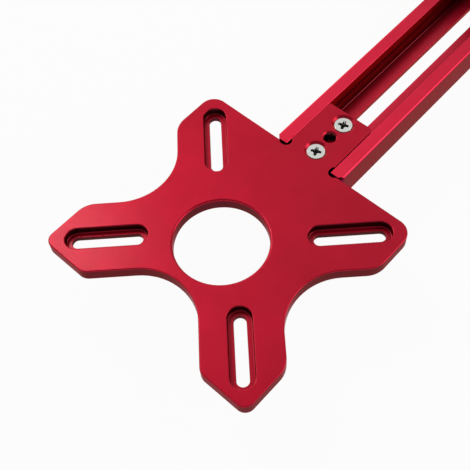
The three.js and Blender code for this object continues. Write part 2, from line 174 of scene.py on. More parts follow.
# %% Noise and tones
NOISE_RANGE = (0.3, 0.7)


def new_finish(name):
    """A new material and its empty tree."""
    material = bpy.data.materials.new(name)
    material.use_nodes = True
    material.node_tree.nodes.clear()
    return material, material.node_tree


def noise(tree, size_mm, detail=2, stretch=(1, 1, 1)):
    """A value near 0.5 that wanders in lumps of size_mm, drawn out along each axis by its stretch."""
    place = add_node(tree, "ShaderNodeTexCoord")
    scale = [1 / (size_mm * MM * share) for share in stretch]
    mapping = add_node(tree, "ShaderNodeMapping", {"Vector": place.outputs["Object"], "Scale": scale})
    inputs = {"Vector": mapping.outputs["Vector"], "Scale": 1, "Detail": detail}
    return add_node(tree, "ShaderNodeTexNoise", inputs).outputs["Fac"]


def two_tones(tree, value, first, second):
    """Noise turned into a colour that wanders between two written ones."""
    node = add_node(tree, "ShaderNodeValToRGB", {"Fac": value})
    for stop, position, tone in zip(node.color_ramp.elements, NOISE_RANGE, (first, second)):
        stop.position = position
        stop.color = colour(tone)
    return node.outputs["Color"]


def bump(tree, height, depth_mm, under=None):
    """A normal that makes the height, from 0 to 1, stand depth_mm proud of the surface under it."""
    inputs = {"Height": height, "Distance": depth_mm * MM}
    if under:
        inputs["Normal"] = under
    return add_node(tree, "ShaderNodeBump", inputs).outputs["Normal"]


def shade(tree, inputs):
    """Ends a finish with its shader, joined to an output."""
    shader = add_node(tree, "ShaderNodeBsdfPrincipled", inputs)
    add_node(tree, "ShaderNodeOutputMaterial", {"Surface": shader.outputs["BSDF"]})


# %% [markdown]
# ## Red anodised aluminium
# The plate, the rail, the carriage and the fence are aluminium, blasted with fine beads, dyed red in an
# anodising bath and sealed. The metal is a red mirror blurred by the pits, drawn coarser than they are so
# that they show, and the clear sealed layer adds a weak white sheen. Broken edges, sinks and upright sides
# keep the cutter's smoother finish, and upright sides get a darker red, which is painted shade. Near other
# walls the red changes again, all of it painted shade: a floor has its own tone at the foot of a wall, so
# has a wall that faces another, and deep in a corner a wall is painted nearly black. Each reach is in
# millimetres, with the shares of open sky between which the tone changes.

# %% Anodised finishes
# The face tones are the dye, patchy at random; the foot, inner and flank tones are painted shade
PLATE_DYES_AND_SHADES = {"face": ("#BB0629", "#C8092F"), "foot": "#C1082C", "flank_shade": "#5E1029", "inner_wall_shade": "#480C1E"}
RAIL_DYES_AND_SHADES = {"face": ("#E61F42", "#F1284B"), "foot": "#74101E", "flank_shade": "#7A1A3E", "inner_wall_shade": "#961428"}
# Painted shade that turns a cut wall nearly black deep in a corner
DEEP_PAINTED_SHADE = "#2A0408"
EDGE_TINT = "#D8707F"
DYE_PATCH_MM = 18
UPRIGHT_SHARES = (0.6, 0.1)
CUT_SHARES = (0.98, 0.9)
# How far each painted shade reaches: at the foot of a wall, on walls that face another, and deep in a corner
FOOT_SHADE_REACH = (6, 0.66, 0.92)
INNER_SHADE_REACH = (34, 0.8, 0.98)
DEEP_SHADE_REACH = (8, 0.4, 0.75)
BLAST_PATCH_MM = 6
BLASTED_ROUGHNESS = (0.47, 0.53)
CUT_ROUGHNESS = 0.24
COAT_SHARES = (0.28, 0.12)
BEAD_PIT_MM = 0.25
BEAD_DEPTH_MM = 0.006
DIE_LINE_MM = 0.35
DIE_LINE_DEPTH_MM = 0.02
DIE_LINE_STRETCH = (150, 1, 1)


def steepness(tree, level_from, level_to):
    """0 while the upright share of the normal is level_from or more, rising to 1 at level_to."""
    normal = add_node(tree, "ShaderNodeTexCoord").outputs["Normal"]
    upward = add_node(tree, "ShaderNodeSeparateXYZ", {"Vector": normal}).outputs["Z"]
    return ranged(tree, maths(tree, "ABSOLUTE", upward), level_from, level_to)


def openness(tree, reach_mm, dark_share, light_share):
    """0 where the piece itself, within reach_mm, leaves dark_share of the sky, and 1 at light_share."""
    inputs = {"Distance": reach_mm * MM}
    shaded = add_node(tree, "ShaderNodeAmbientOcclusion", inputs, samples=8, only_local=True)
    return ranged(tree, shaded.outputs["AO"], dark_share, light_share)


def blend(tree, share, first, second):
    """The first colour where share is 0, and the second where it is 1."""
    inputs = {"Factor": share, 6: first, 7: second}
    return add_node(tree, "ShaderNodeMix", inputs, data_type="RGBA").outputs[2]


def anodised_aluminium(name, dyes_and_shades, die_lines=False):
    """Satin red anodised aluminium with painted shade, and faint lines along X if it was pressed through a
    die.
    """
    material, tree = new_finish(name)
    face = two_tones(tree, noise(tree, DYE_PATCH_MM, 3), *dyes_and_shades["face"])
    foot, inner_wall_shade, flank_shade = [colour(dyes_and_shades[part]) for part in ("foot", "inner_wall_shade", "flank_shade")]
    upright = steepness(tree, *UPRIGHT_SHARES)
    cut = steepness(tree, *CUT_SHARES)
    # Painted shade: a floor takes the foot tone near a wall, walls near other walls the inner tone, and
    # upright sides the darker flank tone
    level = blend(tree, openness(tree, *FOOT_SHADE_REACH), foot, face)
    wall = blend(tree, openness(tree, *INNER_SHADE_REACH), inner_wall_shade, flank_shade)
    # Painted shade: cut faces deep in a corner turn nearly black
    uncut = maths(tree, "SUBTRACT", 1, cut)
    lit = maths(tree, "MAXIMUM", uncut, openness(tree, *DEEP_SHADE_REACH))
    blasted = ranged(tree, noise(tree, BLAST_PATCH_MM, 3), *NOISE_RANGE, *BLASTED_ROUGHNESS)
    roughness = add_node(tree, "ShaderNodeMix", {"Factor": cut, "A": blasted, "B": CUT_ROUGHNESS})
    normal = bump(tree, noise(tree, BEAD_PIT_MM, 1), BEAD_DEPTH_MM)
    if die_lines:
        normal = bump(tree, noise(tree, DIE_LINE_MM, 1, DIE_LINE_STRETCH), DIE_LINE_DEPTH_MM, normal)
    shade(tree, {
        "Base Color": blend(tree, lit, colour(DEEP_PAINTED_SHADE), blend(tree, upright, level, wall)),
        "Specular Tint": colour(EDGE_TINT),
        "Metallic": 0.95,
        "Roughness": roughness.outputs["Result"],
        "Normal": normal,
        "Coat Weight": ranged(tree, upright, 0, 1, *COAT_SHARES),
        "Coat Roughness": 0.2,
        "Coat IOR": 1.6,
    })
    return material


milled_red = anodised_aluminium("milled_anodised_aluminium", PLATE_DYES_AND_SHADES)
extruded_red = anodised_aluminium("extruded_anodised_aluminium", RAIL_DYES_AND_SHADES, die_lines=True)

# %% [markdown]
# ## Plated steel, brass and nylon
# The other finishes are plainer, and one function makes them all: patches of two tones, a roughness that
# wanders between two values, and fine pits, each at its own scale in millimetres.

# %% Other finishes
# How far the painted shade in narrow hollows reaches, and the shares of open sky between which it fades
HOLLOW_SHADE_REACH = (1.5, 0.45, 0.9)


def patchy_finish(name, patch_mm, tones, grain, roughness, pit_mm, pit_depth_mm, hollow_shade=None, **others):
    """A finish with uneven tones, roughness and pits, and painted shade in narrow hollows if given."""
    material, tree = new_finish(name)
    tone = two_tones(tree, noise(tree, patch_mm, 3), *tones)
    if hollow_shade:
        # Painted shade: a darker tone where the piece's own walls crowd round
        tone = blend(tree, openness(tree, *HOLLOW_SHADE_REACH), colour(hollow_shade), tone)
    shade(tree, {
        "Base Color": tone,
        "Roughness": ranged(tree, noise(tree, *grain), *NOISE_RANGE, *roughness),
        "Normal": bump(tree, noise(tree, pit_mm), pit_depth_mm),
        **others,
    })
    return material


# Steel with a bright zinc plating, pale and slightly warm, with painted shade that makes it dark deep in a
# recess or a thread
steel = patchy_finish(
    "zinc_plated_steel", 1.2, ("#E6E7E2", "#F3F4F0"), (0.6, 2), (0.2, 0.3), 0.35, 0.004, "#1E1F1D",
    Metallic=1,
)
# Brass from the lathe, dull where it was handled
brass = patchy_finish(
    "turned_brass", 2, ("#B58D45", "#CFA95C"), (0.8, 2), (0.25, 0.4), 0.3, 0.004, Metallic=1,
)
# Glass-filled nylon, moulded black, with the fine matt grain of its mould
nylon = patchy_finish(
    "moulded_black_nylon", 5, ("#1A1A1B", "#232325"), (0.7, 3), (0.45, 0.6), 0.3, 0.03, Metallic=0, IOR=1.53,
)
print("finishes:", [material.name for material in bpy.data.materials if material.use_nodes])

# %% [markdown]
# ## Drawing outlines
# Shapes start as flat outlines: corners with a radius each, circles and round-ended slots. An outline can be
# drawn in along its whole length, which is how the rounded rims of machined aluminium are made.

# %% Outlines
ARC_STEP_DEG = 5
CIRCLE_SIDES = 72
SHANK_SIDES = 48
SMALL_SIDES = 36
OVERRUN = 1
TINY = 1e-4


def rounded(corners, step_deg=ARC_STEP_DEG):
    """The points of an outline, anticlockwise, with each corner [x, y, radius] rounded by its radius."""
    points = []
    for i, (x, y, *radius) in enumerate(corners):
        corner = Vector((x, y))
        if not radius:
            points.append(corner)
            continue
        before = (Vector(corners[i - 1][:2]) - corner).normalized()
        after = (Vector(corners[(i + 1) % len(corners)][:2]) - corner).normalized()
        half_angle = before.angle(after) / 2
        centre = corner + (before + after).normalized() * (radius[0] / math.sin(half_angle))
        start = corner + before * (radius[0] / math.tan(half_angle)) - centre
        sweep = math.copysign(math.pi - 2 * half_angle, after.cross(before))
        steps = max(2, math.ceil(abs(math.degrees(sweep)) / step_deg - TINY))
        points += [centre + Matrix.Rotation(sweep * step / steps, 2) @ start for step in range(steps + 1)]
    return points


def across_x(half, *middle):
    """An outline that is the same on both sides of the X axis, from its half and corners on the axis."""
    return rounded([*half, *middle, *[[x, -y, *radius] for x, y, *radius in reversed(half)]])


def across_y(half):
    """An outline that is the same on both sides of the Y axis, from its half."""
    return rounded([*half, *[[-x, y, *radius] for x, y, *radius in reversed(half)]])


def circle(radius, steps=CIRCLE_SIDES):
    """A circle about the origin."""
    return [Matrix.Rotation(math.tau * step / steps, 2) @ Vector((radius, 0)) for step in range(steps)]


def round_slot(travel, radius, turn_deg=0):
    """Two half circles, travel apart, and the straight runs between them."""
    steps = round(180 / ARC_STEP_DEG)
    points = []
    for end in (0, 180):
        middle = Vector((math.cos(math.radians(end)) * travel / 2, 0))
        for step in range(steps + 1):
            angle = math.radians(end - 90 + step * ARC_STEP_DEG)
            points.append(middle + Vector((math.cos(angle), math.sin(angle))) * radius)
    return [Matrix.Rotation(math.radians(turn_deg), 2) @ point for point in points]


def drawn_in(outline, amount):
    """The outline moved in by an amount, or out by a negative one, with its corners mitred."""
    points = []
    for i, point in enumerate(outline):
        sides = [point - outline[i - 1], outline[(i + 1) % len(outline)] - point]
        first, second = [Vector((side.y, -side.x)).normalized() for side in sides]
        points.append(point - (first + second) * (amount / (1 + first.dot(second))))
    return points


# %% [markdown]
# ## From outlines to solids
# A solid is a stack of outlines at rising heights, skinned over, and a quarter round on a rim is four steps
# of it. The tools that cut holes flare out at a face, so the cut edge comes out round as well. This is
# quicker and cleaner than bevelling a finished boolean.

# %% Stacks, blocks, tools and turned pieces
RIM_STEPS = 4


def skin(name, rings, closed=False, lid=True):
    """A mesh object from rings of equally many points, capped or joined end to end."""
    count = len(rings[0])
    points = [tuple(point) for ring in rings for point in ring]
    faces = []
    for level in range(len(rings) if closed else len(rings) - 1):
        low = level * count
        high = (level + 1) % len(rings) * count
        for i in range(count):
            after = (i + 1) % count
            faces.append((low + i, low + after, high + after, high + i))
    if not closed:
        faces.append(tuple(reversed(range(count))))
    if lid and not closed:
        faces.append(tuple(range(len(points) - count, len(points))))
    mesh = bpy.data.meshes.new(name)
    mesh.from_pydata(points, [], faces)
    return new_object(name, mesh)


def rim(radius):
    """A quarter round as pairs: depth below the face, and how far the outline is drawn in there."""
    if not radius:
        return [(0, 0)]
    angles = [math.pi / 2 * step / RIM_STEPS for step in range(RIM_STEPS + 1)]
    return [(radius * (1 - math.cos(angle)), radius * (1 - math.sin(angle))) for angle in angles]


def stack(name, outline, levels):
    """A solid on an outline, from pairs: a height, and how far the outline is drawn in at it."""
    return skin(name, [[(p.x, p.y, z) for p in drawn_in(outline, amount)] for z, amount in levels])


def block(name, outline, low, high, low_rim=0, high_rim=0):
    """A straight solid with its two rims rounded."""
    levels = [(low + depth, amount) for depth, amount in rim(low_rim)]
    levels += [(high - depth, amount) for depth, amount in reversed(rim(high_rim))]
    return stack(name, outline, levels)


def cutter(outline, low, high, low_rim=None, high_rim=None, at=(0, 0), foot=0):
    """A tool for a hole that rounds the edge at each face with a rim, and a blind hole's foot."""
    levels = [(low + depth, amount) for depth, amount in rim(foot)]
    if low_rim is not None:
        levels = [(low - OVERRUN, -low_rim)] + [(low + depth, -amount) for depth, amount in rim(low_rim)]
    if high_rim is None:
        levels += [(high, 0)]
    else:
        levels += [(high - depth, -amount) for depth, amount in reversed(rim(high_rim))]
        levels += [(high + OVERRUN, -high_rim)]
    placed = [point + Vector(at) for point in outline]
    return stack("cutter", placed, levels)


def turned(name, corners, steps=CIRCLE_SIDES, lid=True):
    """A turned piece about Z, from the rounded outline of its right half in [radius, z]."""
    profile = rounded(corners)
    outside = [point for point in profile if point.x > TINY]
    angles = [math.tau * step / steps for step in range(steps)]
    rings = [[(p.x * math.cos(a), p.x * math.sin(a), p.y) for a in angles] for p in outside]
    return skin(name, rings, len(outside) == len(profile), lid)


def moved(piece, x=0, y=0, z=0):
    """The same piece, with its mesh moved."""
    piece.data.transform(Matrix.Translation((x, y, z)))
    return piece


def along_x(piece):
    """The same piece, laid along X: its outline's x runs along Y, its y up, and its height along X."""
    piece.data.transform(Matrix(((0, 0, 1, 0), (1, 0, 0, 0), (0, 1, 0, 0), (0, 0, 0, 1))))
    return piece


def evaluated_mesh(piece):
    """The piece's mesh with its modifiers worked in."""
    graph = bpy.context.evaluated_depsgraph_get()
    worked = piece.evaluated_get(graph)
    mesh = bpy.data.meshes.new_from_object(worked, preserve_all_data_layers=True, depsgraph=graph)
    piece.modifiers.clear()
    return mesh


def combined(piece, others, operation="DIFFERENCE"):
    """The piece after cutting or joining others, which are used up."""
    for other in others:
        modifier = piece.modifiers.new("boolean", "BOOLEAN")
        modifier.operation = operation
        modifier.solver = "EXACT"
        modifier.object = other
    piece.data = evaluated_mesh(piece)
    for other in others:
        bpy.data.objects.remove(other)
    return piece


# %% [markdown]
# ## Finishing a piece
# Each piece ends in the same way. Doubled points are merged, its place is worked into its mesh in metres,
# flat faces stay flat while rounds are smooth, and it takes the place of its plain pieces on the right body.
# Open edges are counted, because a closed solid has none.

# %% The last step of each piece
SHARP_DEG = 35
MERGE_MM = 0.0005


def dress(piece, finish, slot, body, *plain):
    """Places, smooths and paints a drawn piece, and puts it in place of its plain pieces."""
    mesh = piece.data
    form = bmesh.new()
    form.from_mesh(mesh)
    bmesh.ops.remove_doubles(form, verts=form.verts, dist=MERGE_MM)
    bmesh.ops.dissolve_degenerate(form, edges=form.edges, dist=MERGE_MM)
    open_edges = sum(not edge.is_manifold for edge in form.edges)
    form.to_mesh(mesh)
    form.free()
    mesh.transform(TO_FRAME)
    mesh.shade_smooth()
    mesh.set_sharp_from_angle(angle=math.radians(SHARP_DEG))
    weighted = piece.modifiers.new("flat_faces_stay_flat", "WEIGHTED_NORMAL")
    weighted.keep_sharp = True
    piece.data = evaluated_mesh(piece)
    piece.data.materials.clear()
    piece.data.materials.append(finish)
    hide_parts(*plain)
    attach(piece, body)
    size = [round(value / MM, 1) for value in piece.dimensions]
    print(piece.name, "mm:", size, "faces:", len(piece.data.polygons), "open edges:", open_edges)


# %% [markdown]
# ## The base plate
# The plate is milled from 5 mm sheet: four arms round a 32 mm hole, with hollows between them that let the
# user see the work, and a tongue that lies in the rail. Half of its outline is drawn and mirrored.

# %% Plate outline
PLATE_UNDER = PLATE_LOW.z
PLATE_SIDE = PLATE_HIGH.y
PLATE_NEAR = 44
PLATE_MIDDLE = (PLATE_NEAR - PLATE_FAR) / 2
PLATE_RIM = 0.42
WAIST_RADIUS = 19.9
FAR_WAIST = 19.9
SIDE_WAIST = 31

waist_reach = WAIST_RADIUS * (math.sqrt(2) - 1)
side_meet = SIDE_WAIST - waist_reach
far_meet = FAR_WAIST - waist_reach
plate_half = [
    [PLATE_NEAR, PLATE_SIDE, 5.5],
    [PLATE_MIDDLE + PLATE_SIDE - side_meet, PLATE_SIDE, 8.5],
    [PLATE_MIDDLE, side_meet, WAIST_RADIUS],
    [PLATE_MIDDLE - PLATE_SIDE + side_meet, PLATE_SIDE, 8.5],
    [-PLATE_FAR, PLATE_SIDE, 3.5],
    [-PLATE_FAR, PLATE_FAR - far_meet, 4.4],
]
plate_outline = across_x(plate_half, [-far_meet, 0, WAIST_RADIUS])
print("points round the plate:", len(plate_outline))

# %% [markdown]
# ## The tongue
# The tongue has finer rims and is joined to the plate. It was pushed against one wall of the rail when its
# screws were tightened, so the seam on that side is hard to see.

# %% Tongue
TONGUE_END = PLATE_HIGH.x
TONGUE_HALF = 9.5
TONGUE_PUSH = 0.18
TONGUE_RIM = 0.15
tongue_outline = rounded([
    [PLATE_NEAR - 4, -TONGUE_HALF],
    [TONGUE_END, -TONGUE_HALF, 1.8],
    [TONGUE_END, TONGUE_HALF + TONGUE_PUSH, 1],
    [PLATE_NEAR - 4, TONGUE_HALF + TONGUE_PUSH],
])
plate = block("milled_base_plate", plate_outline, PLATE_UNDER, 0, PLATE_RIM, PLATE_RIM)
tongue = block("tongue", tongue_outline, PLATE_UNDER, 0, TONGUE_RIM, TONGUE_RIM)
plate = combined(plate, [tongue], "UNION")

# %% [markdown]
# ## Holes in the plate
# Each arm has a stepped slot at 45 degrees, narrow for a screw's shank and wide for its head. The tongue has
# two countersunk holes and, between them, a threaded one. A thread is a rule: the radius goes in and out as
# a wave of the height and of the angle round the axis. A tree of Geometry Nodes applies it to any turned
# piece, a bolt or the tool that cuts a threaded hole.

# %% The thread tree
ON_SHANK_MM = 0.01
STEPS_PER_PITCH = 8


def new_tree(name, *labels, kind="Float"):
    """A Geometry Nodes tree with named inputs of one kind, and a material for what it makes."""
    tree = bpy.data.node_groups.new(name, "GeometryNodeTree")
    sockets = {"Geometry": "Geometry", **dict.fromkeys(labels, kind), "Finish": "Material"}
    for label, kind in sockets.items():
        tree.interface.new_socket(name=label, in_out="INPUT", socket_type=f"NodeSocket{kind}")
    tree.interface.new_socket(name="Geometry", in_out="OUTPUT", socket_type="NodeSocketGeometry")
    return tree, tree.nodes.new("NodeGroupInput").outputs


def end_tree(tree, given, geometry):
    """The ended tree: instances are made real, and the material is set."""
    real = add_node(tree, "GeometryNodeRealizeInstances", {"Geometry": geometry})
    inputs = {"Geometry": real.outputs["Geometry"], "Material": given["Finish"]}
    painted = add_node(tree, "GeometryNodeSetMaterial", inputs)
    add_node(tree, "NodeGroupOutput", {"Geometry": painted.outputs["Geometry"]})
    return tree


def run_tree(piece, tree, **values):
    """Works a tree into a piece's mesh, with its named inputs set."""
    modifier = piece.modifiers.new(tree.name, "NODES")
    modifier.node_group = tree
    for item in tree.interface.items_tree:
        if item.name in values:
            modifier[item.identifier] = values[item.name]
    piece.data = evaluated_mesh(piece)
    return piece


def about_axis(tree):
    """The parts of each point's place, its way out from the Z axis, and how far that is."""
    place = add_node(tree, "GeometryNodeInputPosition").outputs["Position"]
    parts = add_node(tree, "ShaderNodeSeparateXYZ", {"Vector": place}).outputs
    flat = add_node(tree, "ShaderNodeCombineXYZ", {"X": parts["X"], "Y": parts["Y"]}).outputs["Vector"]
    radius = add_node(tree, "ShaderNodeVectorMath", {0: flat}, operation="LENGTH").outputs["Value"]
    return parts, flat, radius


def pushed_out(tree, given, flat, share, chosen=True):
    """The geometry, with its chosen points moved by a share of their way out from the Z axis."""
    move = add_node(tree, "ShaderNodeVectorMath", {0: flat, "Scale": share}, operation="SCALE")
    inputs = {"Geometry": given["Geometry"], "Selection": chosen, "Offset": move.outputs["Vector"]}
    return add_node(tree, "GeometryNodeSetPosition", inputs).outputs["Geometry"]


def thread_tree():
    """Moves the points on a round shank in or out along a helix, between two heights."""
    tree, given = new_tree("thread", "Radius", "Pitch", "Depth", "From", "To")
    parts, flat, radius = about_axis(tree)
    turns = maths(tree, "DIVIDE", maths(tree, "ARCTAN2", parts["Y"], parts["X"]), math.tau)
    rise = maths(tree, "SUBTRACT", maths(tree, "DIVIDE", parts["Z"], given["Pitch"]), turns)
    wave = maths(tree, "MULTIPLY", maths(tree, "PINGPONG", rise, 0.5), 2)
    share = maths(tree, "DIVIDE", maths(tree, "MULTIPLY", wave, given["Depth"]), radius)
    on_shank = maths(tree, "COMPARE", radius, given["Radius"], ON_SHANK_MM)
    above = maths(tree, "GREATER_THAN", parts["Z"], given["From"])
    below = maths(tree, "LESS_THAN", parts["Z"], given["To"])
    chosen = maths(tree, "MULTIPLY", on_shank, maths(tree, "MULTIPLY", above, below))
    return end_tree(tree, given, pushed_out(tree, given, flat, share, chosen))


thread = thread_tree()


def threaded(piece, radius, pitch, depth, low, high):
    """The piece with a thread on its shank between two heights, depth outwards."""
    return run_tree(piece, thread, Radius=radius, Pitch=pitch, Depth=depth, From=low, To=high)


def heights(low, high, pitch):
    """Heights from low to high, close enough together to carry a thread."""
    count = math.ceil((high - low) / pitch * STEPS_PER_PITCH)
    return [low + (high - low) * step / count for step in range(count + 1)]


# %% Holes in the plate
CUTTER_HOLE_RADIUS = 16
CUTTER_HOLE_RIM = 0.8
SLOT_MIDDLE_X = 26.5
SLOT_MIDDLE_Y = 30.1
SLOT_TRAVEL = 19.7
SLOT_RADIUS = 2.05
STEP_RADIUS = 4
STEP_FOOT = 0.4
STEP_DEPTH = 3
SLOT_RIM = 0.3
STEP_EDGE_RIM = 0.12
RELIEF_RADIUS = 2.2
RELIEF_X = 45.2
RELIEF_Y = 10.9
TONGUE_SCREW_X = (48.4, 63.5)
PIVOT_HOLE_X = sum(TONGUE_SCREW_X) / 2
PIVOT_HOLE_RADIUS = 2.2
PIVOT_HOLE_PITCH = 0.9
PIVOT_HOLE_DEPTH = 0.35
PIVOT_HOLE_MOUTH = PIVOT_HOLE_RADIUS + PIVOT_HOLE_DEPTH + 0.1
SCREW_HOLE_RADIUS = 2.2
SINK_RADIUS = 4.1
SINK_RIM = 0.25
HOLE_RIM = 0.2
FINE_RIM = 0.1


def sink(hole_radius, face_radius, face, reach):
    """The tool for a screw hole that opens at 45 degrees to a face, with a rounded edge."""
    return turned("cutter", [
        [0, -reach],
        [hole_radius, -reach],
        [hole_radius, face - (face_radius - hole_radius)],
        [face_radius, face, SINK_RIM],
        [face_radius + OVERRUN, face + OVERRUN / 4],
        [face_radius + OVERRUN, face + OVERRUN],
        [0, face + OVERRUN],
    ])


cutter_hole = circle(CUTTER_HOLE_RADIUS, 2 * CIRCLE_SIDES)
cutters = [cutter(cutter_hole, PLATE_UNDER, 0, CUTTER_HOLE_RIM, CUTTER_HOLE_RIM)]
for side in (1, -1):
    relief = (RELIEF_X, side * RELIEF_Y)
    cutters.append(cutter(circle(RELIEF_RADIUS, SHANK_SIDES), PLATE_UNDER, 0, HOLE_RIM, HOLE_RIM, relief))
    for end in (1, -1):
        middle = (PLATE_MIDDLE + end * SLOT_MIDDLE_X, side * SLOT_MIDDLE_Y)
        lean = side * end * 45
        narrow = round_slot(SLOT_TRAVEL, SLOT_RADIUS, lean)
        wide = round_slot(SLOT_TRAVEL, STEP_RADIUS, lean)
        cutters.append(cutter(narrow, PLATE_UNDER, -STEP_DEPTH, SLOT_RIM, STEP_EDGE_RIM, middle))
        cutters.append(cutter(wide, -STEP_DEPTH, 0, None, SLOT_RIM, middle, STEP_FOOT))
for x in TONGUE_SCREW_X:
    cutters.append(moved(sink(SCREW_HOLE_RADIUS, SINK_RADIUS, 0, OVERRUN - PLATE_UNDER), x))
low, mouth = PLATE_UNDER - OVERRUN, -PIVOT_HOLE_DEPTH
pivot_hole = turned("cutter", [
    [0, low],
    *[[PIVOT_HOLE_RADIUS, z] for z in heights(low, mouth, PIVOT_HOLE_PITCH)],
    [PIVOT_HOLE_MOUTH, 0],
    [PIVOT_HOLE_MOUTH + OVERRUN, OVERRUN],
    [0, OVERRUN],
], SHANK_SIDES)
sizes = (PIVOT_HOLE_RADIUS, PIVOT_HOLE_PITCH, PIVOT_HOLE_DEPTH)
cutters.append(moved(threaded(pivot_hole, *sizes, low + TINY, mouth - TINY), PIVOT_HOLE_X))
dress(combined(plate, cutters), milled_red, "red_anodised", "frame", "base_plate")

# %% [markdown]
# ## The guide rail
# The rail is an extrusion: one section, sawn to length. It is a U with thick walls, a small step in each
# wall that the tongue and the carriage lie on, and a floor with a long slot for the clamp bolts. The sawn
# edges are broken, and the two outer corners at the plate are cut away.

# %% Rail section
TONGUE_FIT = 0.25
RAIL_LEDGE = 0.6
RAIL_FLOOR = 2.3
RAIL_END_RIM = 0.2
RAIL_EDGE = 0.8
RAIL_FOOT_EDGE = 0.6
TAPPED_RADIUS = 2.05
RAIL_END_CORNER = 1.6
RAIL_SLOT_RADIUS = 2.9
RAIL_SLOT_RIMS = (0.25, 0.15)
RAIL_SLOT_FROM = TONGUE_END + 2.2
RAIL_SLOT_TO = RAIL_HIGH.x - 8
RAIL_FOOT = RAIL_LOW.z
RAIL_SIDE = RAIL_HIGH.y
CHANNEL_HALF = TONGUE_HALF + TONGUE_FIT
LOWER_HALF = CHANNEL_HALF - RAIL_LEDGE
FLOOR_TOP = RAIL_FOOT + RAIL_FLOOR
END_SCREW_Y = (CHANNEL_HALF + RAIL_SIDE) / 2
END_SCREW_HOLE = 1.3
END_HOLE_SIDES = 24
END_SCREW_DEPTH = 9

rail_half = [
    [RAIL_SIDE, RAIL_FOOT, RAIL_FOOT_EDGE],
    [RAIL_SIDE, 0, RAIL_EDGE],
    [CHANNEL_HALF, 0, 0.3],
    [CHANNEL_HALF, PLATE_UNDER],
    [LOWER_HALF, PLATE_UNDER],
    [LOWER_HALF, FLOOR_TOP, 0.35],
]

# %% Rail
section = across_y(rail_half)
rail = block("extruded_guide_rail", section, RAIL_LOW.x, RAIL_HIGH.x, RAIL_END_RIM, RAIL_END_RIM)
slot_middle = ((RAIL_SLOT_FROM + RAIL_SLOT_TO) / 2, 0)
slot_outline = round_slot(RAIL_SLOT_TO - RAIL_SLOT_FROM - 2 * RAIL_SLOT_RADIUS, RAIL_SLOT_RADIUS)
cutters = [cutter(slot_outline, RAIL_FOOT, FLOOR_TOP, *RAIL_SLOT_RIMS, slot_middle)]
tapped_hole = circle(TAPPED_RADIUS, SMALL_SIDES)
for x in TONGUE_SCREW_X:
    cutters.append(cutter(tapped_hole, RAIL_FOOT, FLOOR_TOP, HOLE_RIM, FINE_RIM, (x, 0)))
for side in (1, -1):
    corner = [
        (RAIL_LOW.x - OVERRUN, RAIL_SIDE - RAIL_END_CORNER - OVERRUN),
        (RAIL_LOW.x + RAIL_END_CORNER + OVERRUN, RAIL_SIDE + OVERRUN),
        (RAIL_LOW.x - OVERRUN, RAIL_SIDE + OVERRUN),
    ]
    flat = [Vector((x, side * y)) for x, y in (corner if side == 1 else reversed(corner))]
    cutters.append(block("cutter", flat, RAIL_FOOT - OVERRUN, OVERRUN))
    outline = circle(END_SCREW_HOLE, END_HOLE_SIDES)
    end_hole = cutter(outline, RAIL_HIGH.x - END_SCREW_DEPTH, RAIL_HIGH.x, None, FINE_RIM)
    cutters.append(moved(along_x(end_hole), y=side * END_SCREW_Y, z=RAIL_FOOT / 2))
dress(combined(along_x(rail), cutters), extruded_red, "red_anodised", "frame", "guide_rail")

# %% [markdown]
# ## Cross-head screws
# One screw is drawn and copied to points, each with its own turn, because no two screws stop at the same
# angle. The recess is a cross with round ends that narrows downwards, with a blunt cone in the middle for
# the driver's tip.

# %% Screw shape
HEAD_RIM = 0.15
CROSS_STEP_DEG = 15
CROSS_END_SHARE = 0.7
CROSS_HOLLOW_SHARE = 0.5
CROSS_FOOT_SHARES = (0.45, 0.6)
SCREW_THREAD_SHARE = 0.55
POINT_SIDES = 32


def cross(span, width):
    """The outline of a cross-head recess, with round ends and hollow corners."""
    far, near = span / 2, width / 2
    corners = []
    arm = [
        (far, -near, CROSS_END_SHARE * near),
        (far, near, CROSS_END_SHARE * near),
        (near, near, CROSS_HOLLOW_SHARE * near),
    ]
    for quarter in range(4):
        spin = Matrix.Rotation(math.pi / 2 * quarter, 2)
        corners += [[*(spin @ Vector((x, y))), radius] for x, y, radius in arm]
    return rounded(corners, CROSS_STEP_DEG)


def countersunk_screw(name, radius, head, length, pitch, span, width, depth):
    """A cross-head screw that points down from z = 0, with its thread up to the head."""
    cone_foot = radius - head - HEAD_RIM
    tip = radius / 4
    shank_top = cone_foot - pitch / 2
    screw = turned(name, [
        [0, -length],
        [radius - tip, -length],
        *[[radius, z] for z in heights(tip - length, shank_top, pitch)],
        [radius, cone_foot],
        [head, -HEAD_RIM, 0.06],
        [head, 0, 0.1],
        [0, 0],
    ])
    threaded(screw, radius, pitch, -SCREW_THREAD_SHARE * pitch, tip - length - TINY, shank_top + TINY)
    span_share, width_share = CROSS_FOOT_SHARES
    foot, mouth = cross(span_share * span, width_share * width), cross(span, width)
    outlines = [(foot, -depth), (mouth, 0), (mouth, OVERRUN)]
    recess = skin("cutter", [[(p.x, p.y, z) for p in outline] for outline, z in outlines])
    tools = [recess]
    for low, low_share, high, high_share in ((-1.15 * depth, 0.25, 0, 1), (-0.12, 0.62, OVERRUN, 0.9)):
        cone = [[0, low], [low_share * width, low], [high_share * width, high], [0, high]]
        tools.append(turned("cutter", cone, POINT_SIDES))
    return combined(screw, tools)


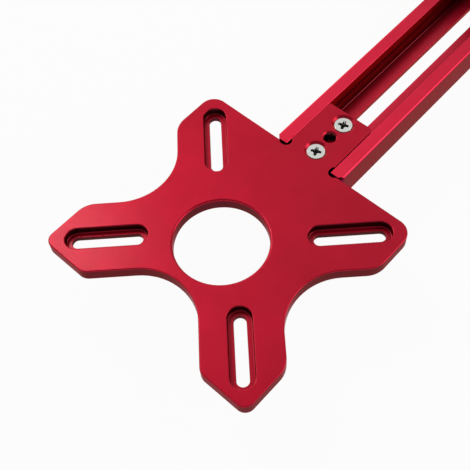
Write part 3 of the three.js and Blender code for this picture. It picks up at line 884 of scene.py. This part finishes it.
# %% The tree that copies a piece to points
def copies_tree():
    """Puts a piece on each point, turned about Z by the point's own angle."""
    tree, given = new_tree("copies_on_points", "Piece", kind="Object")
    piece = add_node(tree, "GeometryNodeObjectInfo", {"Object": given["Piece"]})
    angle = add_node(tree, "GeometryNodeInputNamedAttribute", {"Name": "turn"}, data_type="FLOAT")
    turned_by = add_node(tree, "ShaderNodeCombineXYZ", {"Z": angle.outputs["Attribute"]})
    copies = add_node(tree, "GeometryNodeInstanceOnPoints", {
        "Points": given["Geometry"],
        "Instance": piece.outputs["Geometry"],
        "Rotation": turned_by.outputs["Vector"],
    })
    return end_tree(tree, given, copies.outputs["Instances"])


copies = copies_tree()


def copied(name, piece, places, turns_deg):
    """One mesh of a piece, copied to places and turned there about Z. The piece is used up."""
    mesh = bpy.data.meshes.new(name)
    mesh.from_pydata(places, [], [])
    turns = mesh.attributes.new("turn", "FLOAT", "POINT")
    turns.data.foreach_set("value", [math.radians(angle) for angle in turns_deg])
    group = run_tree(new_object(name, mesh), copies, Piece=piece)
    bpy.data.objects.remove(piece)
    return group


# %% Screws of the tongue
HEAD_RADIUS = 3.2
SCREW = dict(radius=1.95, head=HEAD_RADIUS, pitch=0.7, span=3.9, width=1.1, depth=1.9)
SEAT_ROOM = 0.1
SCREW_TOP = HEAD_RADIUS + HEAD_RIM + SEAT_ROOM - SINK_RADIUS
rail_screw = countersunk_screw("rail_screw", length=SCREW_TOP - RAIL_FOOT, **SCREW)
places = [(x, 0, SCREW_TOP) for x in TONGUE_SCREW_X]
dress(
    copied("tongue_screws", rail_screw, places, (24, 20)),
    steel, "plated_steel", "frame", "rail_screw_1", "rail_screw_2",
)

# %% [markdown]
# ## The carriage
# The carriage is a block that slides in the rail, just below the work face. A pocket for each clamp bolt's
# hexagon keeps the bolt from turning while its knob is tightened, and a round one takes the pin's flange.

# %% Carriage
SLIDE = 0.12
CARRIAGE_LOW, CARRIAGE_HIGH = drawing_box("carriage")
CARRIAGE_TOP = CARRIAGE_HIGH.z
FENCE_LOW, FENCE_HIGH = drawing_box("fence_bar")
FENCE_X = (FENCE_LOW.x + FENCE_HIGH.x) / 2
PIN_X = (FENCE_HIGH.x + CARRIAGE_HIGH.x) / 2
BOLT_PITCH = 28
BOLT_X = (PIN_X - BOLT_PITCH / 2, PIN_X + BOLT_PITCH / 2)
BOLT_RADIUS = 2.45
HOLE_ROOM = 0.25
THREAD_ROOM = 0.1
BLOCK_RIM = 0.4
HEX_RADIUS = 4.6
HEX_HEIGHT = 3.5
HEX_ROOM = 0.3
HEX_SIDES = 6
POCKET_RIM = 0.25
HEX_SEAT = CARRIAGE_TOP - HEX_HEIGHT - HEX_ROOM
PIN_RECESS_RADIUS = 6.2
RECESS_RIM = 0.3
WASHER_LOW, WASHER_HIGH = drawing_box("pivot_washer")
PIN_SHANK_RADIUS = 2.9
FENCE_SCREW_Y = 5.5
FENCE_SCREW_BITE = 5
TAPPED_ROOM = 0.5

carriage_half = [
    [LOWER_HALF - SLIDE, CARRIAGE_LOW.z, BLOCK_RIM],
    [LOWER_HALF - SLIDE, PLATE_UNDER + SLIDE],
    [CHANNEL_HALF - SLIDE, PLATE_UNDER + SLIDE],
    [CHANNEL_HALF - SLIDE, CARRIAGE_TOP, BLOCK_RIM],
]
section = across_y(carriage_half)
carriage = block("carriage_block", section, CARRIAGE_LOW.x, CARRIAGE_HIGH.x, BLOCK_RIM, BLOCK_RIM)
cutters = []
bolt_hole = circle(BOLT_RADIUS + HOLE_ROOM)
pocket = circle(HEX_RADIUS + HEX_ROOM, HEX_SIDES)
for x in BOLT_X:
    cutters.append(cutter(bolt_hole, CARRIAGE_LOW.z, HEX_SEAT + OVERRUN, HOLE_RIM, None, (x, 0)))
    cutters.append(cutter(pocket, HEX_SEAT, CARRIAGE_TOP, None, POCKET_RIM, (x, 0)))
shank_hole = circle(PIN_SHANK_RADIUS + THREAD_ROOM)
cutters.append(cutter(shank_hole, CARRIAGE_LOW.z, WASHER_LOW.z + OVERRUN, HOLE_RIM, None, (PIN_X, 0)))
recess = circle(PIN_RECESS_RADIUS)
cutters.append(cutter(recess, WASHER_LOW.z, CARRIAGE_TOP, None, RECESS_RIM, (PIN_X, 0)))
for side in (1, -1):
    place = (FENCE_X, side * FENCE_SCREW_Y)
    depth = CARRIAGE_TOP - FENCE_SCREW_BITE - TAPPED_ROOM
    cutters.append(cutter(tapped_hole, depth, CARRIAGE_TOP, None, FINE_RIM, place))
dress(combined(along_x(carriage), cutters), extruded_red, "red_anodised", "carriage", "carriage")

# %% [markdown]
# ## Clamp bolts
# A bolt's head is what a hexagon shares with a turned shape whose top edge slopes at 30 degrees. Its shank
# carries the same thread rule as the hole in the tongue.

# %% Bolts
KNOB_LOW, KNOB_HIGH = drawing_box("clamp_knob_1")
BOLT_END = drawing_box("clamp_bolt_1")[0].z
BOLT_THREAD_PITCH = 0.8
BOLT_THREAD_DEPTH = 0.45
BOLT_TIP = 0.6
BOLT_PLAIN_LENGTH = 2
CROWN_SHARE = 0.86
CROWN_SLOPE = math.tan(math.radians(30))

top = HEX_SEAT + HEX_HEIGHT
crown = HEX_RADIUS * CROWN_SHARE
outside = HEX_RADIUS + OVERRUN
head = combined(block("bolt", circle(HEX_RADIUS, HEX_SIDES), HEX_SEAT, top), [turned("cutter", [
    [0, HEX_SEAT - OVERRUN],
    [outside, HEX_SEAT - OVERRUN],
    [outside, top - (outside - crown) * CROWN_SLOPE],
    [crown, top, 0.15],
    [0, top],
])], "INTERSECT")
low, high = BOLT_END + BOLT_TIP, HEX_SEAT - BOLT_PLAIN_LENGTH
inside_head = HEX_SEAT + HEX_HEIGHT / 2
shank = turned("cutter", [
    [0, BOLT_END],
    [BOLT_RADIUS - BOLT_TIP, BOLT_END],
    *[[BOLT_RADIUS, z] for z in heights(low, high, BOLT_THREAD_PITCH)],
    [BOLT_RADIUS, inside_head],
    [0, inside_head],
], SHANK_SIDES)
threaded(shank, BOLT_RADIUS, BOLT_THREAD_PITCH, -BOLT_THREAD_DEPTH, low - TINY, high + TINY)
bolt = combined(head, [shank], "UNION")
places = [(x, 0, 0) for x in BOLT_X]
dress(
    copied("hexagon_clamp_bolts", bolt, places, (0, 0)),
    steel, "plated_steel", "carriage", "clamp_bolt_1", "clamp_bolt_2",
)

# %% [markdown]
# ## Washers, bushes and knobs
# Each knob is black nylon moulded round a brass bush. Its grip is a turned shape pushed in between eight
# lobes, less towards the hub. That is a rule of the angle and the radius, so it is a tree too. The thin ring
# in the dish of its outer face is what the mould leaves there.

# %% The lobes tree
def lobes_tree():
    """Draws a turned grip in between its lobes, more towards the rim than at the hub."""
    tree, given = new_tree("grip_lobes", "Lobes", "Depth", "Hub", "Rim")
    parts, flat, radius = about_axis(tree)
    angle = maths(tree, "ARCTAN2", parts["Y"], parts["X"])
    wave = maths(tree, "COSINE", maths(tree, "MULTIPLY", angle, given["Lobes"]))
    valley = maths(tree, "MULTIPLY", maths(tree, "SUBTRACT", 1, wave), 0.5)
    inputs = {"Value": radius, "From Min": given["Hub"], "From Max": given["Rim"]}
    smooth = add_node(tree, "ShaderNodeMapRange", inputs, interpolation_type="SMOOTHSTEP")
    outwards = smooth.outputs["Result"]
    push = maths(tree, "MULTIPLY", maths(tree, "MULTIPLY", valley, outwards), given["Depth"])
    share = maths(tree, "DIVIDE", push, maths(tree, "MAXIMUM", radius, 1))
    return end_tree(tree, given, pushed_out(tree, given, flat, share))


grip_lobes = lobes_tree()

# %% Knob shape
KNOB_RADIUS = 12.5
KNOB_ROUND = 1.8
KNOB_LOBES = 8.0
LOBE_DEPTH = 1.3
LOBES_FROM = 8.5
HUB_RADIUS = 7
HUB_HEIGHT = 1.5
DISH_RADIUS = 8
DISH_DEPTH = 0.8
MOULD_RING = (4.4, 4.6, 5.4, 5.6)
MOULD_RING_SINK = 0.35
BUSH_RADIUS = 4
BUSH_SEAT = 0.1
BOLT_END_ROOM = 1.5
KNOB_SIDES = 160


def knob_grip(name):
    """The knob, dish down, with a blind hole for the bush and the bolt."""
    foot, top = KNOB_LOW.z, KNOB_HIGH.z
    shoulder = top - HUB_HEIGHT
    dish = foot + DISH_DEPTH
    ring = foot + MOULD_RING_SINK
    first, second, third, fourth = MOULD_RING
    knob = turned(name, [
        [0, dish],
        [first, dish],
        [second, ring, 0.15],
        [third, ring, 0.15],
        [fourth, dish],
        [DISH_RADIUS - DISH_DEPTH, dish, 0.4],
        [DISH_RADIUS, foot, 0.5],
        [KNOB_RADIUS, foot, KNOB_ROUND],
        [KNOB_RADIUS, shoulder, KNOB_ROUND],
        [HUB_RADIUS, shoulder, 0.5],
        [HUB_RADIUS, top, 0.3],
        [0, top],
    ], KNOB_SIDES)
    run_tree(knob, grip_lobes, Lobes=KNOB_LOBES, Depth=-LOBE_DEPTH, Hub=LOBES_FROM, Rim=KNOB_RADIUS)
    bush_hole = cutter(circle(BUSH_RADIUS + BUSH_SEAT), BOLT_END - BUSH_SEAT, top, None, FINE_RIM)
    bolt_room = cutter(circle(BOLT_RADIUS + HOLE_ROOM, SHANK_SIDES), BOLT_END - BOLT_END_ROOM, top)
    return combined(knob, [bush_hole, bolt_room])


# %% Washers, bushes and knobs
BUSH_CHAMFER = 0.4


def plain_washer(name, bore, low, high, x):
    """A flat washer about the axis at x, as high and as wide as its plain piece."""
    outside = high.x - x
    return moved(turned(name, [
        [bore, low.z, 0.1],
        [outside, low.z, 0.2],
        [outside, high.z, 0.2],
        [bore, high.z, 0.1],
    ]), x)


for number, x in zip((1, 2), BOLT_X):
    box = drawing_box(f"clamp_washer_{number}")
    washer = plain_washer(f"plain_washer_{number}", BOLT_RADIUS + HOLE_ROOM, *box, x)
    dress(washer, steel, "plated_steel", f"washer_{number}", f"clamp_washer_{number}")
    top = KNOB_HIGH.z
    bore = BOLT_RADIUS + THREAD_ROOM
    bush = turned(f"threaded_bush_{number}", [
        [bore, BOLT_END, 0.1],
        [BUSH_RADIUS, BOLT_END, 0.2],
        [BUSH_RADIUS, top, 0.2],
        [bore + BUSH_CHAMFER, top],
        [bore, top - BUSH_CHAMFER],
    ])
    dress(moved(bush, x), brass, "brass", f"knob_{number}", f"knob_insert_{number}")
    knob = moved(knob_grip(f"lobed_knob_{number}"), x)
    dress(knob, nylon, "black_nylon", f"knob_{number}", f"clamp_knob_{number}")

# %% [markdown]
# ## The fence
# The fence is a straight bar across the rail that follows the side of the work. A tenon under it sits in the
# rail's channel on the carriage. Two holes near its ends take a wooden facing.

# %% Fence
FENCE_RIM = 0.6
FENCE_FLOAT = 0.3
FENCE_CORNER = 3
TENON_CORNER = 0.3
FACING_INSET = 14
FACING_HOLE_RADIUS = 2.2
FACING_SINK_RADIUS = 4.2
fence_half = [
    [FENCE_HIGH.x, FENCE_HIGH.y, FENCE_CORNER],
    [FENCE_LOW.x, FENCE_HIGH.y, FENCE_CORNER],
]
outline = across_x(fence_half)
fence = block("fence_straight_edge", outline, FENCE_FLOAT, FENCE_HIGH.z, FENCE_RIM, FENCE_RIM)
tenon_half = [
    [FENCE_HIGH.x - FENCE_RIM, CHANNEL_HALF - 2 * SLIDE, TENON_CORNER],
    [FENCE_LOW.x + FENCE_RIM, CHANNEL_HALF - 2 * SLIDE, TENON_CORNER],
]
tenon = block("tenon", across_x(tenon_half), FENCE_LOW.z, FENCE_HIGH.z / 2)
fence = combined(fence, [tenon], "UNION")
cutters = []
for side in (1, -1):
    hole = sink(SCREW_HOLE_RADIUS, SINK_RADIUS, FENCE_HIGH.z, OVERRUN)
    cutters.append(moved(hole, FENCE_X, side * FENCE_SCREW_Y))
    facing = sink(FACING_HOLE_RADIUS, FACING_SINK_RADIUS, FENCE_HIGH.x, OVERRUN - FENCE_LOW.x)
    height = (FENCE_FLOAT + FENCE_HIGH.z) / 2
    cutters.append(moved(along_x(facing), y=side * (FENCE_HIGH.y - FACING_INSET), z=height))
dress(combined(fence, cutters), extruded_red, "red_anodised", "carriage", "fence_bar")

# %% Screws of the fence
top = FENCE_HIGH.z + SCREW_TOP
length = top - CARRIAGE_TOP + FENCE_SCREW_BITE
fence_screw = countersunk_screw("fence_screw", length=length, **SCREW)
places = [(FENCE_X, side * FENCE_SCREW_Y, top) for side in (1, -1)]
dress(
    copied("fence_screws", fence_screw, places, (31, 64)),
    steel, "plated_steel", "carriage", "fence_screw_1", "fence_screw_2",
)

# %% [markdown]
# ## The pivot pin
# The pin stands in the carriage for cutting circles: its point goes into the middle of the work. Its flange
# has two flats for a spanner, and it sits on a plain washer in the pocket.

# %% Pin and its washer
PIN_RADIUS = 2.5
PIN_LOW, PIN_HIGH = drawing_box("pivot_pin")
FLANGE_RADIUS = PIN_HIGH.y
FLANGE_TOP = WASHER_HIGH.z + 1.8
FLAT_HALF = 4
PIN_TIP_HEIGHT = 1.6
PIN_TIP_RADIUS = 0.8
PIN_THREAD_PITCH = 1.0
PIN_THREAD_DEPTH = 0.5
THREAD_STOP = WASHER_LOW.z - PIN_THREAD_DEPTH
THREAD_START = PIN_LOW.z + PIN_THREAD_DEPTH

pin = turned("pointed_pivot_pin", [
    [0, PIN_LOW.z],
    [PIN_SHANK_RADIUS - PIN_THREAD_DEPTH, PIN_LOW.z],
    *[[PIN_SHANK_RADIUS, z] for z in heights(THREAD_START, THREAD_STOP, PIN_THREAD_PITCH)],
    [PIN_SHANK_RADIUS, WASHER_HIGH.z],
    [FLANGE_RADIUS, WASHER_HIGH.z, 0.2],
    [FLANGE_RADIUS, FLANGE_TOP, 0.3],
    [PIN_RADIUS, FLANGE_TOP, 0.3],
    [PIN_RADIUS, PIN_HIGH.z - PIN_TIP_HEIGHT, 0.4],
    [PIN_TIP_RADIUS, PIN_HIGH.z, 0.3],
    [0, PIN_HIGH.z],
])
sizes = (PIN_SHANK_RADIUS, PIN_THREAD_PITCH, -PIN_THREAD_DEPTH)
threaded(pin, *sizes, THREAD_START - TINY, THREAD_STOP + TINY)
reach = FLANGE_RADIUS + OVERRUN
flats = []
for side in (1, -1):
    near, far = sorted((side * FLAT_HALF, side * reach))
    outline = [Vector(p) for p in ((-reach, near), (reach, near), (reach, far), (-reach, far))]
    flats.append(block("cutter", outline, WASHER_HIGH.z + 0.4, FLANGE_TOP + OVERRUN))
dress(moved(combined(pin, flats), PIN_X), steel, "plated_steel", "carriage", "pivot_pin")

bore = PIN_SHANK_RADIUS + HOLE_ROOM
washer = plain_washer("pivot_plain_washer", bore, WASHER_LOW, WASHER_HIGH, PIN_X)
dress(washer, steel, "plated_steel", "carriage", "pivot_washer")

# %% [markdown]
# ## The end stop
# A nylon plate with the rail's outer corners closes its far end, so that the carriage can't slide out. Two
# small screws hold it to the ends of the rail's walls.

# %% End stop and its screws
STOP_RIM = 0.5
END_SCREW = dict(radius=1.2, head=2.1, pitch=0.45, span=2.4, width=0.62, depth=1)
END_SINK_RADIUS = 2.35
STOP_LOW, STOP_HIGH = drawing_box("end_stop")
outer_corners = rail_half[:2]
stop = block("end_stop_plate", across_y(outer_corners), STOP_LOW.x, STOP_HIGH.x, 0, STOP_RIM)
cutters = []
for side in (1, -1):
    hole = sink(END_SCREW_HOLE, END_SINK_RADIUS, STOP_HIGH.x, OVERRUN - STOP_LOW.x)
    cutters.append(moved(along_x(hole), y=side * END_SCREW_Y, z=RAIL_FOOT / 2))
dress(combined(along_x(stop), cutters), nylon, "black_nylon", "frame", "end_stop")

end_screw = countersunk_screw("end_screw", length=END_SCREW_DEPTH, **END_SCREW)
places = [(side * END_SCREW_Y, RAIL_FOOT / 2, STOP_HIGH.x - SEAT_ROOM) for side in (1, -1)]
end_screws = along_x(copied("end_stop_screws", end_screw, places, (20, 71)))
dress(end_screws, steel, "plated_steel", "frame", "end_screw_1", "end_screw_2")

# %% [markdown]
# ## Floor, backdrop and lamps
# The photograph was taken on white, so the floor is a matt white sheet that sweeps up into a backdrop all
# round. Most of its white is seen only directly or in a mirror and lights nothing, and the rest keeps the
# jig's shadow. A large soft lamp behind the jig is mirrored in the blasted metal, a small one further left
# gives the left arm its sheen, and one from the right lights the sinks and the broken edges.

# %% Floor and backdrop
SHEET_RADIUS_M = 3
SHEET_SWEEP_M = 0.8
SHEET_HEIGHT_M = 1.2
FLOOR_WHITE_SHARE = 0.95


def matt_sheet():
    """A matt white sheet, a little uneven, that looks white to the camera and keeps its shadow."""
    material, tree = new_finish("matt_white_sheet")
    paper = add_node(tree, "ShaderNodeBsdfPrincipled", {
        "Base Color": two_tones(tree, noise(tree, 150, 3), "#ECECEB", "#EEEEED"),
        "Roughness": 0.9,
        "Specular IOR Level": 0.2,
    })
    white = add_node(tree, "ShaderNodeEmission", {"Color": colour("#FFFFFF"), "Strength": 1})
    path = add_node(tree, "ShaderNodeLightPath").outputs
    mirrored = maths(tree, "MAXIMUM", path["Is Glossy Ray"], path["Is Transmission Ray"])
    seen = maths(tree, "MAXIMUM", path["Is Camera Ray"], mirrored)
    share = maths(tree, "MULTIPLY", seen, FLOOR_WHITE_SHARE)
    inputs = {0: share, 1: paper.outputs["BSDF"], 2: white.outputs["Emission"]}
    mixed = add_node(tree, "ShaderNodeMixShader", inputs)
    add_node(tree, "ShaderNodeOutputMaterial", {"Surface": mixed.outputs["Shader"]})
    return material


sheet_side = [[0, 0], [SHEET_RADIUS_M, 0, SHEET_SWEEP_M], [SHEET_RADIUS_M, SHEET_HEIGHT_M]]
sheet = moved(turned("sheet", sheet_side, lid=False), z=FLOOR_Z)
sheet.data.materials.append(matt_sheet())
sheet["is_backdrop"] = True

# %% World
WORLD_STRENGTH = 0.28
world = bpy.data.worlds.new("studio")
world.use_nodes = True
scene.world = world
tree = world.node_tree
tree.nodes.clear()
inputs = {"Color": colour("#FFFFFF"), "Strength": WORLD_STRENGTH}
light = add_node(tree, "ShaderNodeBackground", inputs)
add_node(tree, "ShaderNodeOutputWorld", {"Surface": light.outputs["Background"]})


# %% Lamps
LAMPS = {
    "back": dict(heading_deg=56, height_deg=36, distance=1.6, size=2.4, watts=7.6),
    "left": dict(heading_deg=93, height_deg=51, distance=1.1, size=0.42, watts=2.8),
    "right": dict(heading_deg=-56, height_deg=38, distance=1.0, size=0.7, watts=2.5),
}


def lamp(name, heading_deg, height_deg, distance, size, watts):
    """A square soft lamp that points at the jig, placed by its heading from +X and its height angle."""
    data = bpy.data.lights.new(name, "AREA")
    data.shape = "SQUARE"
    data.size = size
    data.energy = watts
    heading, height = math.radians(heading_deg), math.radians(height_deg)
    level = math.cos(height)
    towards = Vector((math.cos(heading) * level, math.sin(heading) * level, math.sin(height)))
    aim = towards.to_track_quat("Z", "Y").to_matrix().to_4x4()
    new_object(name, data).matrix_world = Matrix.Translation(towards * distance) @ aim


for name, values in LAMPS.items():
    lamp(name, **values)
print("lamps:", list(LAMPS))

# %% [markdown]
# ## Sizes
# The box round the plain model and the box round the dressed one are kept side by side, and should agree.

# %% Sizes
visual_box = [list(corner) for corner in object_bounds()]
for label, box in (("plain", cad_box), ("dressed", visual_box)):
    print(label, "box, mm:", [[round(value / MM, 2) for value in corner] for corner in box])
